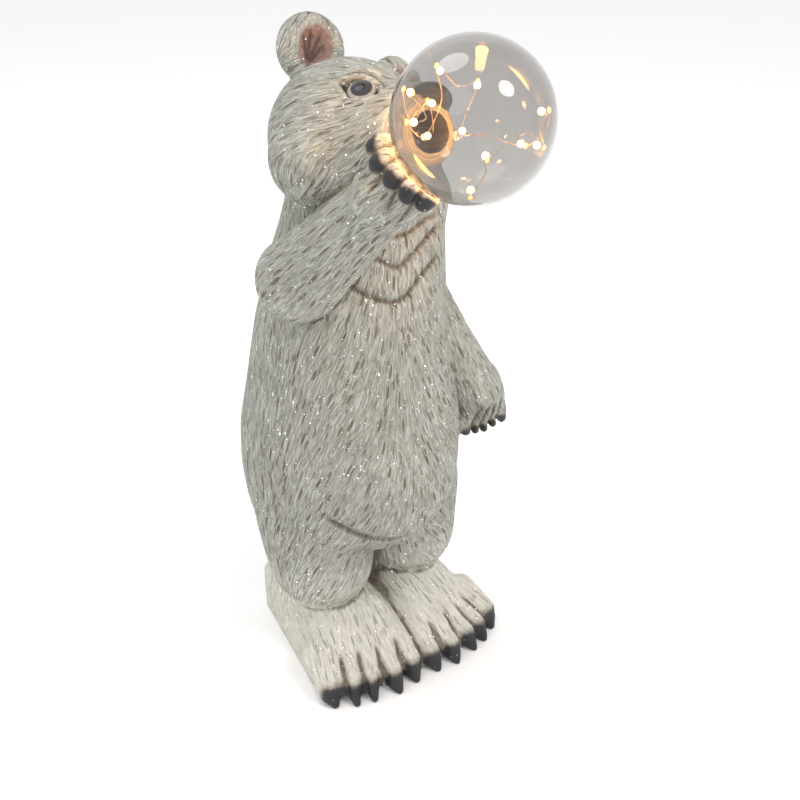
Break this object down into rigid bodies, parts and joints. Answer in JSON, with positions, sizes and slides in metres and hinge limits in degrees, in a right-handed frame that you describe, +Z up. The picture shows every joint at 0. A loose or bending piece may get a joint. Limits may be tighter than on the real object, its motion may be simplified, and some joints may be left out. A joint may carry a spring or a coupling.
{
  "type": "bear garden statue",
  "caption": "Standing white bear garden statue that holds a paw up to a clear lighted globe at its mouth.",
  "frame": {"origin": "on the ground under the middle of the sole, between the feet", "axes": "+Z up, the bear faces -Y, its left side is at +X"},
  "size_m": [0.1671, 0.2341, 0.4],
  "materials": {
    "cast_resin": "matt off-white cast resin with brown-washed fur cuts and glitter",
    "clear_globe": "clear polished"
  },
  "bodies": {
    "root": {"bear": "cast_resin", "globe": "clear_globe"}
  },
  "joints": []
}
